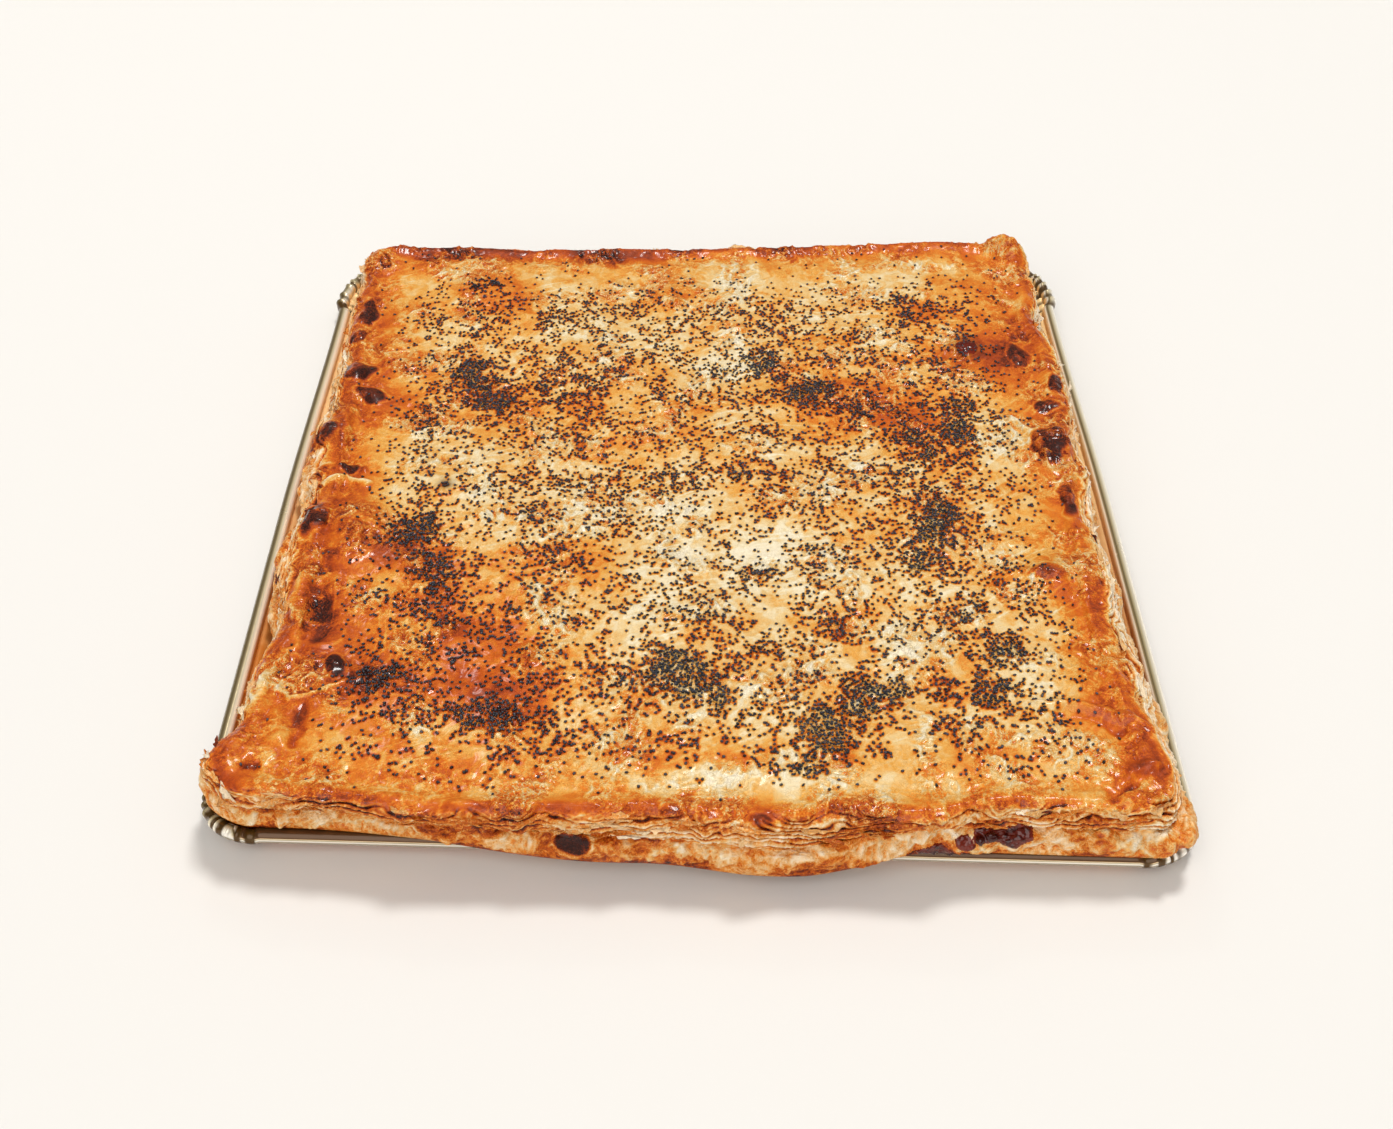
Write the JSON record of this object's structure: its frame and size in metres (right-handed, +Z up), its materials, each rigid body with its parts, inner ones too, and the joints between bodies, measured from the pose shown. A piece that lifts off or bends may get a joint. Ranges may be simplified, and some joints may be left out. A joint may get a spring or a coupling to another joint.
{
  "type": "puff pastry empanada on a tray",
  "caption": "Whole rectangular filled puff pastry pie with sealed layered sides and a seeded egg-washed top, lying on baking paper in a shallow gold tray with a rolled rim and pleated corners.",
  "frame": {"origin": "middle of the whole's box, on the table", "axes": "+X to the right and +Y away from the front edge that the pastry hangs over, +Z up"},
  "size_m": [0.27, 0.319, 0.0338],
  "materials": {
    "tray_foil": "gold-coloured foil over thin card, satin, rubbed bright along the bead",
    "paper": "thin creased baking paper",
    "pastry_crust": "baked puff pastry, egg-washed and glossy on top, flaky and duller at the sides",
    "seeds": "dry blue-black poppy seeds",
    "burnt_juice": "burnt sugary juice, nearly black and glossy"
  },
  "bodies": {
    "root": {"foil_tray": "tray_foil", "baking_paper": "paper", "pastry": "pastry_crust"}
  },
  "joints": []
}
